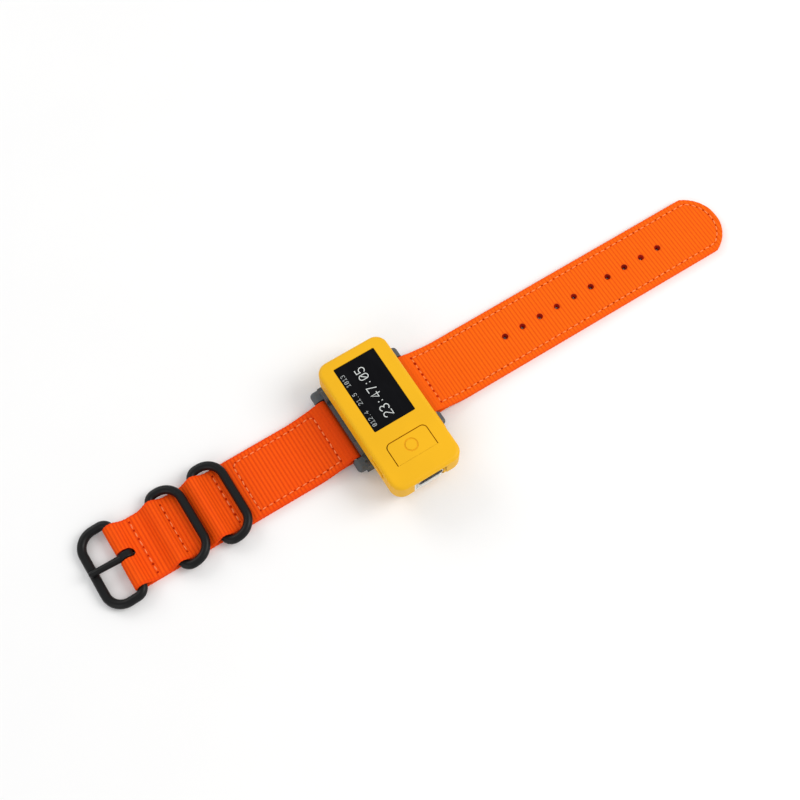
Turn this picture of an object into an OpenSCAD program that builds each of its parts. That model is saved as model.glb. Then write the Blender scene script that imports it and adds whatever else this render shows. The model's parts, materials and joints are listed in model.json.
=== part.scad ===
// Wrist computer: a stick-shaped unit snapped in a cradle, on a two-piece webbing strap.
// +X runs along the strap to the holed end, +Y to the unit's header end, +Z up.
// The origin is on the cradle's underside, midway between the spring bars.

/* [Case] */
// Width of the unit, along the strap
case_w = 24; // [23.5:0.1:25.5]
// Length of the unit, across the strap
case_l = 48; // [47:0.5:50]
// Thickness of the unit
case_h = 13.5; // [13.5:0.1:14.5]
// Corner radius of the case seen from the front
case_corner = 4; // [3:0.5:5]
// Rounding of the front edge
case_edge = 1.3; // [0.6:0.1:1.4]
// Wall thickness of both shells
case_wall = 1.4; // [1.2:0.05:1.5]
// How far the rear shell is set in under the front shell
rear_inset = 1.5; // [1.45:0.05:1.8]
// How far the unit's centre lies below the strap's centreline
unit_shift = 6.5; // [5:0.5:7]

/* [Display] */
// Width of the window
window_w = 14.5; // [13:0.1:15.5]
// Length of the window
window_l = 24.3; // [22:0.1:25]
// Window centre above the unit's centre
window_shift = 8.2; // [7.5:0.1:8.5]

/* [Buttons] */
// Width of the front button
button_w = 13.7; // [12:0.1:14.2]
// Length of the front button, from its hinge to its free edge
button_l = 7.5; // [6.5:0.1:7.8]
// Gap of the slot round the front button
button_gap = 0.3; // [0.2:0.05:0.4]
// Travel of the side buttons
side_travel = 0.3; // [0.2:0.05:0.35]

/* [Cradle] */
// Thickness of the cradle's floor
floor_t = 2; // [1.8:0.1:2.4]
// Distance of each spring bar from the middle
bar_x = 14.3; // [14.2:0.1:15]
// Height of the spring bars
bar_z = 3.3; // [3.2:0.1:3.6]
// Radius of a lug's rounded end
lug_r = 1.6; // [1.3:0.1:1.7]
// Thickness of a lug along the bar
lug_t = 3.9; // [3.2:0.1:4.2]

/* [Strap] */
// Width of the webbing
strap_w = 22; // [20:0.5:22]
// Thickness of one layer of webbing
web_t = 1; // [0.9:0.05:1.1]
// Distance from the middle to the holed strap's tip
tip_x = 133.2; // [125:1:140]
// Distance from the middle to the first hole
first_hole_x = 48.3; // [44:0.5:50]
// Pitch of the holes
hole_pitch = 6.75; // [6:0.05:6.9]
// Number of holes
hole_count = 10; // [8:1:11]

/* [Metal hardware] */
// Distance from the middle to the near keeper ring's inner bar
near_ring_x = 60.7; // [60:0.1:62]
// Distance from the middle to the far keeper ring's inner bar
far_ring_x = 75.2; // [74.5:0.1:75.5]
// Distance from the middle to the buckle's inner bar
buckle_x = 88.6; // [88:0.1:90]
// Wire thickness of the keeper rings
ring_wire = 2.8; // [2.6:0.05:2.9]
// Wire thickness of the buckle
buckle_wire = 2.9; // [2.7:0.05:3]

/* [Hidden] */
$fn = 48;

eps = 0.01;            // overshoot of cutting tools
run_gap = 0.05;        // radial running clearance of pins in holes
// unit: heights and inner sizes
unit_y = -unit_shift;
case_z0 = floor_t;
case_top = case_z0 + case_h;
seam_z = case_top - 7;             // underside of the front shell
rim_z = seam_z + 1;                // top of the rear shell, inside the front one
ceiling_z = case_top - 1.5;        // underside of the front plate
inner_w = case_w - 2*case_wall;
inner_l = case_l - 2*case_wall;
rear_w = case_w - 2*rear_inset;
rear_l = case_l - 2*rear_inset;
rear_wall = 1.2;
board_t = 1;
board_top = rim_z + board_t;
south_y = unit_y - case_l/2;       // outer face of the socket end
north_y = unit_y + case_l/2;
window_y = unit_y + window_shift;
// front button
hinge_y = south_y + 7.1;
button_x = button_w/2;
button_t = 1.3;
root_gap = 0.05;
press_y = hinge_y + 5.3;
// side buttons
side_z = seam_z + 3.75;
side_button_y = unit_y - 10;
power_button_y = unit_y - 13;
side_len = 6;
side_h = 2.2;
// sockets
usb_w = 8.94;
usb_h = 3.2;
usb_l = 7.3;
usb_z = board_top;
notch_w = 11.5;
light_x = 9.3;
// case screws
screw_x = 7.2;
screw_y = south_y + 5.3;
// cradle and spring bars
wall_gap = 0.25;
wall_in = rear_w/2 + wall_gap;
wall_out = case_w/2 + 0.9;
wall_top = seam_z - 0.2;
wall_low = wall_top - 1;
half_gap = strap_w/2 + 0.35;       // inner face of each lug
cradle_half = half_gap + lug_t;
lug_round = 1.2;
wall_half = cradle_half - 1.9;     // the side walls end short of the lugs' outer faces
tube_r = 0.9;
tube_bore = 0.6;
tube_half = strap_w/2 - 0.3;
tip_r = 0.4;
tip_reach = half_gap + 1.25;
tip_in = 8;
// strap
loop_in = tube_r + run_gap;
loop_r = loop_in + web_t;
strap_t = 2*web_t;
ramp = 14;                         // length in which the strap comes down to the table
throat = 5;                        // length in which the loop narrows to two layers
recess_in = bar_x - loop_r - 0.25; // cradle wall behind the strap's loop
recess_top = bar_z + loop_r + 0.2;
hole_r = 1.1;
tip_round = 12;
// keeper rings and buckle
ring_r = ring_wire/2;
ring_len = 25.6;                   // between the middles of a ring's end bars
ring_span = 9.35;                  // between the middles of its long bars
pocket_r = ring_r + 0.1;
pocket_out = pocket_r + web_t;
pocket_z = pocket_out;             // height of a ring's hidden bar
ring_rest = asin((strap_t + ring_r + 0.3 - pocket_z)/ring_span);
inner_bend = 2.8;                  // bends at the ends of a hidden bar
ring_bend = 5.8;
buckle_bend = 5.6;
bump = 5;                          // half-length of the swell over a hidden bar
buckle_r = buckle_wire/2;
buckle_len = 25.4;
buckle_span = 10.9;
fold_in = buckle_r + 0.1;
fold_out = fold_in + web_t;
fold_z = fold_out;
buckle_rest = asin((buckle_r - fold_z)/buckle_span);
prong_root = 1.2;                  // radius of the prong at its eye
prong_r = 1;                       // and at its tip
prong_reach = 12.2;
eye_r = 2.45;
eye_w = 2.3;
prong_slot = 3;
slot_in = eye_r + 0.55;            // how far the prong's slot runs behind the inner bar
slot_out = 4;                      // and past it, through the fold

// ---- shared shapes ----

// half outline of a block's side: w wide, h high, rt and rb its edge roundings
module edge_profile(w, h, rt, rb) {
    translate([0, rb]) square([w, h - rt - rb]);
    translate([0, h - rt - eps]) square([w - rt, rt + eps]);
    translate([w - rt, h - rt]) circle(rt);
    if (rb > 0) {
        square([w - rb, rb + eps]);
        translate([w - rb, rb]) circle(rb);
    }
}

// block with rounded corners and rounded top and bottom edges, standing on z = 0
module soft_block(w, l, h, corner, rt, rb = 0) {
    for (sx = [-1, 1], sy = [-1, 1])
        translate([sx*(w/2 - corner), sy*(l/2 - corner), 0])
            rotate_extrude() intersection() {
                edge_profile(corner, h, rt, rb);
                square([corner + 1, h + 1]);
            }
    for (side = [0, 180]) rotate([0, 0, side]) {
        translate([0, l/2 - corner, 0]) rotate([90, 0, 0])
            linear_extrude(l - 2*corner) edge_profile(w/2, h, rt, rb);
        rotate([0, 0, 90]) translate([0, w/2 - corner, 0]) rotate([90, 0, 0])
            linear_extrude(w - 2*corner) edge_profile(l/2, h, rt, rb);
    }
}

// rectangle with round corners
module soft_square(w, l, r) {
    square([w - 2*r, l], center = true);
    square([w, l - 2*r], center = true);
    for (sx = [-1, 1], sy = [-1, 1]) translate([sx*(w/2 - r), sy*(l/2 - r)]) circle(r);
}

module plate(w, l, h, r) {
    linear_extrude(h) soft_square(w, l, r);
}

// box centred on x and y, standing on z = 0
module block(w, l, h) {
    translate([-w/2, -l/2, 0]) cube([w, l, h]);
}

// cylinder along y, centred
module rod_y(r, l) {
    rotate([90, 0, 0]) cylinder(r = r, h = l, center = true);
}

// cylinder along x, centred
module rod_x(r, l) {
    rotate([0, 90, 0]) cylinder(r = r, h = l, center = true);
}

// ---- unit: shells ----

module front_case() {
    color("gold") difference() {
        translate([0, unit_y, seam_z])
            soft_block(case_w, case_l, case_top - seam_z, case_corner, case_edge);
        difference() {
            translate([0, unit_y, seam_z - 1])
                plate(inner_w, inner_l, ceiling_z - seam_z + 1, case_corner - case_wall);
            for (sx = [-1, 1]) translate([sx*screw_x, screw_y, board_top])
                cylinder(r = 1.6, h = 5);
        }
        translate([0, window_y, ceiling_z - 1]) plate(window_w, window_l, 4, 0.4);
        button_opening();
        translate([0, south_y, seam_z - 1]) block(notch_w, 4*case_wall, ceiling_z - seam_z + 0.9);
        side_slot(1, side_button_y);
        side_slot(-1, power_button_y);
        for (sx = [-1, 1]) translate([sx*screw_x, screw_y, board_top - 1])
            cylinder(r = 0.82, h = 3.6);
        translate([light_x, north_y, board_top + 0.4]) rod_y(0.5, 8);
    }
}

module button_opening() {
    wide = button_w + 2*button_gap;
    long = button_l + button_gap + root_gap;
    translate([0, 0, ceiling_z - 1]) linear_extrude(4) {
        translate([0, hinge_y + long/2]) soft_square(wide, long, 1.8);
        translate([-wide/2, hinge_y]) square([wide, long/2]);
    }
}

module side_slot(side, y) {
    translate([side*(case_w/2 - case_wall/2), y, side_z])
        cube([2*case_wall, side_len + 0.3, side_h + 0.3], center = true);
}

module rear_case() {
    color("gold") difference() {
        union() {
            difference() {
                translate([0, unit_y, case_z0])
                    soft_block(rear_w, rear_l, rim_z - case_z0 + 1, 3, 0.5, 2.5);
                translate([0, unit_y, case_z0 + rear_wall])
                    plate(rear_w - 2*rear_wall, rear_l - 2*rear_wall, 20, 1.8);
            }
            for (sx = [-1, 1]) translate([sx*screw_x, screw_y, case_z0 + 1])
                cylinder(r = 1.7, h = rim_z - case_z0 - 1);
        }
        translate([0, unit_y, rim_z]) block(30, 60, 5);
        translate([0, south_y + rear_inset, case_z0 + 0.9]) block(notch_w, 3*rear_wall, 9);
        translate([0, north_y - rear_inset, rim_z - 2.9]) block(16.8, 3*rear_wall, 9);
        for (sx = [-1, 1]) translate([sx*screw_x, screw_y, case_z0 - 1]) {
            cylinder(r = 0.9, h = 12);
            cylinder(r = 1.5, h = 2.05);
        }
    }
}

module case_screws() {
    color("silver") for (sx = [-1, 1]) translate([sx*screw_x, screw_y, case_z0 + 0.05]) difference() {
        union() {
            cylinder(r = 1.4, h = 1);
            cylinder(r = 0.8, h = board_top - case_z0 + 2);
        }
        translate([0, 0, -0.1]) cylinder(r = 0.7, h = 0.7, $fn = 6);
    }
}

// ---- unit: buttons ----

module front_button() {
    plate_z = case_top - button_t;
    short = button_l - root_gap;
    color("gold") difference() {
        union() {
            translate([0, 0, plate_z]) linear_extrude(button_t) {
                translate([0, hinge_y + root_gap + short/2]) soft_square(button_w, short, 1.5);
                translate([-button_x, hinge_y + root_gap]) square([button_w, short/2]);
            }
            translate([0, press_y, plate_z - 0.5]) cylinder(r = 1.5, h = 1);
        }
        translate([0, hinge_y + button_l/2 + 0.2, case_top - 0.25]) difference() {
            cylinder(r = 2.2, h = 1);
            translate([0, 0, -1]) cylinder(r = 1.7, h = 3);
        }
    }
}

// push cap in a side wall, with a flange inside that stops it falling out
module side_cap(side, y) {
    translate([side*case_w/2, y, side_z]) mirror([side < 0 ? 1 : 0, 0, 0]) {
        translate([-case_wall - 0.05, -side_len/2, -side_h/2]) cube([case_wall + 0.45, side_len, side_h]);
        translate([-case_wall - 0.75, -side_len/2 - 0.5, -side_h/2 - 0.5])
            cube([0.7, side_len + 1, side_h + 1]);
    }
}

module side_button() {
    color("orange") side_cap(1, side_button_y);
}

module power_button() {
    color("orange") side_cap(-1, power_button_y);
}

// ---- unit: display ----

module display_lens() {
    color([0.05, 0.05, 0.06]) translate([0, window_y, 0]) {
        translate([0, 0, ceiling_z - 0.6]) plate(window_w + 2.4, window_l + 1.8, 0.6, 0.8);
        translate([0, 0, ceiling_z - 0.1]) plate(window_w - 0.1, window_l - 0.1, 1.35, 0.35);
    }
}

module display_panel() {
    color([0.1, 0.1, 0.12]) translate([0, window_y, ceiling_z - 1.9]) block(16.6, 26, 1.25);
}

module light_guide() {
    color("white") translate([0, window_y, ceiling_z - 2.9]) block(17, 27, 0.95);
}

// ---- unit: board and what is on it ----

module main_board() {
    color("darkgreen") difference() {
        translate([0, unit_y, rim_z]) plate(inner_w - 0.4, inner_l - 0.4, board_t, 2);
        for (sx = [-1, 1]) translate([sx*screw_x, screw_y, rim_z - 1]) cylinder(r = 0.9, h = 4);
    }
}

module radio_module() {
    color("silver") translate([0, unit_y + 1, rim_z - 1.45]) {
        block(13.2, 12, 1.2);
        translate([0, 0.8, 1.2 - eps]) block(13.2, 14, 0.25 + eps);
    }
}

// flat chips under the board: power controller, motion sensor, clock chip and crystal
module board_chips() {
    chips = [[-5.5, 12, 5, 5, 0.9], [1, 10.6, 3, 2.5, 0.8], [5.6, 11, 3, 3, 0.8], [6.2, 13.6, 3.2, 1.5, 0.7]];
    color([0.15, 0.15, 0.16]) for (c = chips)
        translate([c[0], unit_y + c[1], rim_z - c[4]]) block(c[2], c[3], c[4]);
}

module tact_switch(body_h, plunger_h) {
    block(4.4, 3.6, body_h);
    translate([0, 0, body_h - eps]) cylinder(r = 1, h = plunger_h + eps);
}

module front_switch() {
    rise = case_top - button_t - 0.5 - board_top;
    color([0.2, 0.2, 0.22]) translate([0, press_y, board_top]) tact_switch(rise - 0.75, 0.5);
}

// switch lying on the board with its plunger towards a side cap
module edge_switch(side, y) {
    cap_in = case_w/2 - case_wall - 0.75;
    reach = cap_in - side_travel - 0.05;
    translate([side*(reach - 2), y, board_top]) {
        block(3, 4.4, 2.2);
        translate([side*1.25, 0, side_z - board_top]) rod_x(0.7, 1.5);
    }
}

module side_switch() {
    color([0.2, 0.2, 0.22]) edge_switch(1, side_button_y);
}

module power_switch() {
    color([0.2, 0.2, 0.22]) edge_switch(-1, power_button_y);
}

module status_light() {
    color("red") translate([light_x, north_y - 3, board_top]) block(1.2, 1.6, 0.8);
}

module microphone() {
    color("silver") translate([7, south_y + 9.4, board_top]) block(3, 2.2, 1.1);
}

// ---- unit: sockets ----

module usb_profile(w, h) {
    soft_square(w, h, h/2 - 0.02);
}

module usb_shell() {
    color("silver") translate([0, south_y + 0.15, usb_z + usb_h/2]) rotate([-90, 0, 0]) difference() {
        linear_extrude(usb_l) usb_profile(usb_w, usb_h);
        translate([0, 0, -1]) linear_extrude(usb_l) usb_profile(usb_w - 0.6, usb_h - 0.6);
    }
}

module usb_tongue() {
    color([0.12, 0.12, 0.13]) translate([0, south_y + 0.9, usb_z + usb_h/2 - 0.35]) {
        translate([-3.35, 0, 0]) cube([6.7, usb_l - 1.75, 0.7]);
        translate([-3.35, usb_l - 3, -0.7]) cube([6.7, 1.25, 2.1]);
    }
}

expansion_y = south_y + rear_inset + 0.1;
expansion_z = case_z0 + rear_wall + 0.2;

module expansion_socket() {
    color("white") difference() {
        translate([-5, expansion_y, expansion_z]) cube([10, 7, rim_z - expansion_z]);
        translate([-4.2, expansion_y - 1, expansion_z + 0.8]) cube([8.4, 6.5, 4.5]);
        for (i = [0:3]) translate([2*i - 3, expansion_y + 5, expansion_z + 3]) rod_y(0.3, 6);
    }
}

module expansion_pins() {
    color("gold") for (i = [0:3])
        translate([2*i - 3, expansion_y + 4.4, expansion_z + 3]) rod_y(0.28, 4.8);
}

header_y = north_y - rear_inset - 0.3;
header_z = rim_z - 2.7;
header_pitch = 2;

module header_socket() {
    color([0.12, 0.12, 0.13]) difference() {
        translate([-8.2, header_y - 4.4, header_z]) cube([16.4, 4.4, 2.7]);
        for (i = [0:7]) translate([(i - 3.5)*header_pitch, header_y - 1.7, header_z + 1.3]) rod_y(0.45, 4);
    }
}

module header_contacts() {
    color("gold") for (i = [0:7])
        translate([(i - 3.5)*header_pitch, header_y - 2.4, header_z + 1.3]) difference() {
            rod_y(0.43, 2.4);
            rod_y(0.28, 3);
        }
}

// ---- unit: power and sound ----

battery_z = case_z0 + rear_wall + 0.1;

module battery() {
    color("lightgray") translate([0, unit_y + 3.6, battery_z]) plate(16, 22, 3.9, 1);
}

module battery_pad() {
    color([0.25, 0.25, 0.25]) translate([0, unit_y + 3.6, battery_z + 3.9]) block(12, 14, 0.5);
}

module buzzer() {
    color([0.1, 0.1, 0.1]) translate([0, unit_y - 11.4, battery_z]) difference() {
        cylinder(r = 3, h = 2.5);
        translate([0, 0, 1.5]) cylinder(r = 0.8, h = 2);
    }
}

// ---- cradle ----

// rounded end of a lug round the spring bar, and its arm from the wall
module lug_profile() {
    translate([-lug_t/2, 0]) square([lug_t - lug_round, lug_r]);
    translate([-lug_t/2, 0]) square([lug_t, lug_r - lug_round]);
    translate([lug_t/2 - lug_round, lug_r - lug_round]) circle(lug_round);
}

// one lug: its outer end face is at +Y; the spring bar's axis is y
module lug() {
    rotate([-90, 0, 0]) rotate_extrude() intersection() {
        rotate([0, 0, 90]) mirror([0, 1]) lug_profile();
        translate([0, -lug_t/2]) square([lug_r, lug_t]);
    }
    rotate([0, -90, 0]) linear_extrude(bar_x - recess_in + 0.8)
        for (flip = [0, 1]) mirror([flip, 0]) rotate([0, 0, 90]) mirror([0, 1]) lug_profile();
}

module lug_pair_side() {
    for (side = [0, 1]) mirror([0, side, 0])
        translate([bar_x, half_gap + lug_t/2, bar_z]) lug();
}

// upright strip of a side wall, t thick: from y for a length l, from z0 to z1, its top corners rounded
module wall_strip(t, y, l, z0, z1, round) {
    translate([wall_in, y, 0]) rotate([90, 0, 90]) linear_extrude(t) {
        translate([0, z0]) square([l, z1 - z0 - round]);
        translate([round, z0]) square([l - 2*round, z1 - z0]);
        for (end = [round, l - round]) translate([end, z1 - round]) circle(round);
    }
}

// side wall with two clip tabs; the stretch between them is lower
module cradle_wall() {
    wall_strip(recess_in - wall_in, -wall_half, 2*wall_half, 0, wall_low, 0.9);
    wall_strip(wall_out - wall_in, -wall_half, 2*wall_half, recess_top, wall_low, 0.9);
    for (tab = [[8.8, 4.2], [-11.6, 4.6]])
        wall_strip(wall_out - wall_in, tab[0], tab[1], recess_top, wall_top, 0.9);
}

module cradle() {
    color([0.33, 0.35, 0.36]) difference() {
        union() {
            block(2*recess_in, 2*cradle_half, floor_t);
            for (side = [0, 1]) mirror([side, 0, 0]) {
                cradle_wall();
                lug_pair_side();
                for (y = [-1, 1]) {
                    translate([wall_in, y*(half_gap + lug_t/2), 0])
                        block_from(wall_out - wall_in, lug_t, bar_z + lug_r);
                    translate([wall_in, y*(half_gap + wall_half)/2, 0])
                        block_from(wall_out - wall_in, wall_half - half_gap, recess_top + eps);
                }
            }
        }
        for (side = [-1, 1]) {
            for (notch = [[7.4, 1.4], [-13.6, 2]])
                translate([side*(wall_in + wall_out)/2, notch[0] + notch[1]/2, recess_top + 0.6])
                    block(4, notch[1], 6);
            for (y = [-1, 1]) translate([side*bar_x, y*(half_gap + 0.3), bar_z]) rod_y(tip_r + run_gap, 2.6);
        }
        translate([0, unit_y, case_z0]) plate(2*wall_in, 60, 20, 1);
    }
}

// box from x = 0, centred on y, standing on z = 0
module block_from(w, l, h) {
    translate([0, -l/2, 0]) cube([w, l, h]);
}

// ---- spring bars ----

module bar_tube(side) {
    translate([side*bar_x, 0, bar_z]) difference() {
        rod_y(tube_r, 2*tube_half);
        rod_y(tube_bore, 2*tube_half + 1);
    }
}

// sprung end pin: its stem runs in the tube and its nose in the lug's hole
module bar_tip(side, up) {
    translate([side*bar_x, 0, bar_z]) rotate([-90*up, 0, 0]) {
        translate([0, 0, tip_in]) cylinder(r = tube_bore - run_gap, h = tube_half + 0.2 - tip_in);
        translate([0, 0, tube_half]) cylinder(r = tip_r, h = tip_reach - tube_half);
    }
}

// coil between the two stems: a wire of square section wound on a helix
spring_turns = 12;
spring_steps = 10;
spring_r = 0.4;
spring_wire = 0.12;
spring_half = tip_in - 0.15;
function spring_ring(i) = let(
    a = 360*i/spring_steps,
    y = -spring_half + (2*spring_half)*i/(spring_turns*spring_steps)
) [for (c = [[1, 0], [0, 1], [-1, 0], [0, -1]])
    [(spring_r + c[0]*spring_wire)*cos(a), y + c[1]*spring_wire, (spring_r + c[0]*spring_wire)*sin(a)]];

module bar_spring(side) {
    last = spring_turns*spring_steps;
    points = [for (i = [0:last]) each spring_ring(i)];
    sides = [for (i = [0:last - 1], k = [0:3]) let(n = (k + 1) % 4, a = 4*i, b = 4*(i + 1))
        each [[a + k, a + n, b + n], [a + k, b + n, b + k]]];
    ends = [[3, 2, 1], [3, 1, 0], [4*last, 4*last + 1, 4*last + 2], [4*last, 4*last + 2, 4*last + 3]];
    faces = concat(sides, ends);
    translate([side*bar_x, 0, bar_z]) polyhedron(points, faces);
}

module right_bar_tube() { color("silver") bar_tube(1); }
module left_bar_tube() { color("silver") bar_tube(-1); }
module right_bar_spring() { color("gray") bar_spring(1); }
module left_bar_spring() { color("gray") bar_spring(-1); }
module right_upper_tip() { color("silver") bar_tip(1, 1); }
module right_lower_tip() { color("silver") bar_tip(1, -1); }
module left_upper_tip() { color("silver") bar_tip(-1, 1); }
module left_lower_tip() { color("silver") bar_tip(-1, -1); }

// ---- strap ----
// Both straps are drawn in a plane: s is the distance from the middle, z the height.

function ease(t) = (1 - cos(180*min(1, max(0, t))))/2;
function mid_z(s) = bar_z + (web_t - bar_z)*ease((s - bar_x)/ramp);
function half_t(s) = web_t + (loop_r - web_t)*(1 - ease((s - bar_x)/throat));
function swell(s, at, rise, reach) = rise*(1 - ease(abs(s - at)/reach));

// outline from the loop round the spring bar to the end, over the given top line
module strap_side(top) {
    polygon(concat(
        [for (i = [0:ramp]) let(s = bar_x + i) [s, mid_z(s) + half_t(s)]],
        top,
        [for (i = [0:ramp]) let(s = bar_x + ramp - i) [s, mid_z(s) - half_t(s)]],
        [for (a = [255:-15:105]) [bar_x + loop_r*cos(a), bar_z + loop_r*sin(a)]]
    ));
}

module strap_band(width) {
    translate([0, width/2, 0]) rotate([90, 0, 0]) linear_extrude(width) children();
}

module strap_long() {
    color("orangered") difference() {
        intersection() {
            strap_band(strap_w) strap_side([[tip_x, strap_t], [tip_x, 0]]);
            translate([0, 0, -1]) linear_extrude(10) {
                translate([0, -strap_w]) square([tip_x - tip_round, 2*strap_w]);
                translate([tip_x - tip_round, 0]) circle(tip_round);
            }
        }
        translate([bar_x, 0, bar_z]) rod_y(loop_in, strap_w + 2);
        for (i = [0:hole_count - 1])
            translate([first_hole_x + i*hole_pitch, 0, -1]) cylinder(r = hole_r, h = 5);
    }
}

// top line of the short strap: a swell over each ring's hidden bar, then the buckle fold
function ring_swell(at) = [for (i = [-10:10]) let(s = at + i*bump/10)
    [s, strap_t + swell(s, at, 2*pocket_out - strap_t, bump)]];
function fold_swell() = [for (i = [0:8]) let(s = buckle_x - bump*(1 - i/8))
    [s, strap_t + swell(s, buckle_x, 2*fold_out - strap_t, bump)]];

module strap_short() {
    edge = 2*(strap_w/2 - 9);
    color("orangered") mirror([1, 0, 0]) difference() {
        union() {
            strap_band(strap_w) strap_side(concat(
                ring_swell(near_ring_x), ring_swell(far_ring_x), fold_swell(), [[buckle_x, 0]]));
            translate([buckle_x, 0, fold_z]) rod_y(fold_out, strap_w);
        }
        translate([bar_x, 0, bar_z]) rod_y(loop_in, strap_w + 2);
        for (x = [near_ring_x, far_ring_x]) translate([x, 0, pocket_z]) {
            rod_y(pocket_r, strap_w + 2);
            for (y = [-1, 1]) translate([0, y*strap_w/2, 0]) rod_y(pocket_r + 0.5, edge);
        }
        translate([buckle_x, 0, fold_z]) {
            rod_y(fold_in, strap_w + 2);
            for (y = [-1, 1]) translate([0, y*strap_w/2, 0]) rod_y(fold_in + 0.65, edge);
            translate([(slot_out - slot_in)/2, 0, -10]) block(slot_in + slot_out, prong_slot, 20);
        }
    }
}

// ---- rings and buckle ----

// wire loop in the xy plane: its hidden bar lies on the y axis, its free bar at x = span
module wire_loop(r, len, span, near_bend, far_bend) {
    rod_y(r, len - 2*near_bend + eps);
    translate([span, 0, 0]) rod_y(r, len - 2*far_bend + eps);
    for (side = [0, 1]) mirror([0, side, 0]) {
        translate([near_bend, len/2 - near_bend, 0]) rotate([0, 0, 90])
            rotate_extrude(angle = 90) translate([near_bend, 0]) circle(r);
        translate([span - far_bend, len/2 - far_bend, 0])
            rotate_extrude(angle = 90) translate([far_bend, 0]) circle(r);
        translate([(near_bend + span - far_bend)/2, len/2, 0])
            rod_x(r, span - near_bend - far_bend + eps);
    }
}

module keeper_ring(x) {
    color([0.1, 0.1, 0.11]) translate([-x, 0, pocket_z]) rotate([0, -ring_rest, 0])
        wire_loop(ring_r, ring_len, ring_span, inner_bend, ring_bend);
}

module near_keeper_ring() { keeper_ring(near_ring_x); }
module far_keeper_ring() { keeper_ring(far_ring_x); }

module buckle_frame() {
    color([0.1, 0.1, 0.11]) translate([-buckle_x, 0, fold_z]) rotate([0, 0, 180])
        rotate([0, -buckle_rest, 0]) wire_loop(buckle_r, buckle_len, buckle_span, inner_bend, buckle_bend);
}

// prong: an eye round the buckle's inner bar and a tapered rod that rests on its outer bar
module buckle_prong() {
    start_z = 0.5;
    rest_z = 2*buckle_r + prong_r + 0.05 - fold_z;
    rise = atan2(rest_z - start_z, buckle_span);
    bore = fold_in - 0.02;
    color([0.1, 0.1, 0.11]) translate([-buckle_x, 0, fold_z]) {
        rotate([90, 0, 0]) rotate_extrude()
            translate([(eye_r + bore)/2, 0]) soft_square(eye_r - bore, eye_w, 0.4);
        difference() {
            translate([0, 0, start_z]) rotate([0, rise - 90, 0]) {
                cylinder(r1 = prong_root, r2 = prong_r, h = prong_reach - prong_r);
                translate([0, 0, prong_reach - prong_r]) sphere(prong_r);
            }
            rod_y(bore + 0.2, eye_w + 1);
        }
    }
}

front_case();
rear_case();
front_button();
side_button();
power_button();
display_lens();
display_panel();
light_guide();
main_board();
radio_module();
board_chips();
front_switch();
side_switch();
power_switch();
usb_shell();
usb_tongue();
expansion_socket();
expansion_pins();
header_socket();
header_contacts();
battery();
battery_pad();
buzzer();
microphone();
status_light();
case_screws();
cradle();
right_bar_tube();
left_bar_tube();
right_bar_spring();
left_bar_spring();
right_upper_tip();
right_lower_tip();
left_upper_tip();
left_lower_tip();
strap_long();
strap_short();
near_keeper_ring();
far_keeper_ring();
buckle_frame();
buckle_prong();
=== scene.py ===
import bpy
import bmesh
import json
import math
import numpy as np
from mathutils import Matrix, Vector


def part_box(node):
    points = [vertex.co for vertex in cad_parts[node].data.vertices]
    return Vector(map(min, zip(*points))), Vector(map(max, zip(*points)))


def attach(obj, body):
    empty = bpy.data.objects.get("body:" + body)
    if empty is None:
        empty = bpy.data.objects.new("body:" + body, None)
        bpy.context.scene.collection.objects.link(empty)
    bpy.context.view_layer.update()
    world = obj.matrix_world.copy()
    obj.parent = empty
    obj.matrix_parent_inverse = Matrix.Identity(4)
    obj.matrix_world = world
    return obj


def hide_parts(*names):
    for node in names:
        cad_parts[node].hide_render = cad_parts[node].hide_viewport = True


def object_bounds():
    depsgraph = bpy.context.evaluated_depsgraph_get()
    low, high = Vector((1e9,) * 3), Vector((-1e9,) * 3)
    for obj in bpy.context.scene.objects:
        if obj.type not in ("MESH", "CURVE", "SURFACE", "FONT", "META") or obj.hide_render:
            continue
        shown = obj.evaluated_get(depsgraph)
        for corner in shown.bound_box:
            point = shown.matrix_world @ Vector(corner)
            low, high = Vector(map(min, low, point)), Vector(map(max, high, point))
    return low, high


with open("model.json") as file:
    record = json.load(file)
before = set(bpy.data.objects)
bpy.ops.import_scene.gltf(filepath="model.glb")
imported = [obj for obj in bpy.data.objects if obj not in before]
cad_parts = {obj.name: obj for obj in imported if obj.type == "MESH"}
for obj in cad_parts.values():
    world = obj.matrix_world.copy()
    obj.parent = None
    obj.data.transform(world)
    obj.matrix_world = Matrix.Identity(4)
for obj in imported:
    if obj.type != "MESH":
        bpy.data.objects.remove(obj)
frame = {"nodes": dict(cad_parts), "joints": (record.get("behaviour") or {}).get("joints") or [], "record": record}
cadLow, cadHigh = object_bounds()
mm = 0.001
hinges = {j["name"]: Vector(j["pos_m"]) for j in frame["joints"] if "pos_m" in j}

print("stage: camera and lights")

camera = dict(azimuth=-32.3, elevation=67.3, distance=0.4113, lens=58.5, aimX=0.0083, aimY=0.0)
aim = Vector((camera["aimX"], camera["aimY"], cadLow.z))
turn, tilt = math.radians(camera["azimuth"]), math.radians(camera["elevation"])
back = Vector((math.sin(turn) * math.cos(tilt), -math.cos(turn) * math.cos(tilt), math.sin(tilt)))
lookData = bpy.data.cameras.new("lookCamera")
lookData.lens = camera["lens"]
lookData.clip_start, lookData.clip_end = 0.01, 20
look = bpy.data.objects.new("lookCamera", lookData)
look.location = aim + back * camera["distance"]
look.rotation_euler = (-back).to_track_quat("-Z", "Y").to_euler()
bpy.context.scene.collection.objects.link(look)
bpy.context.scene.camera = look

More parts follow.
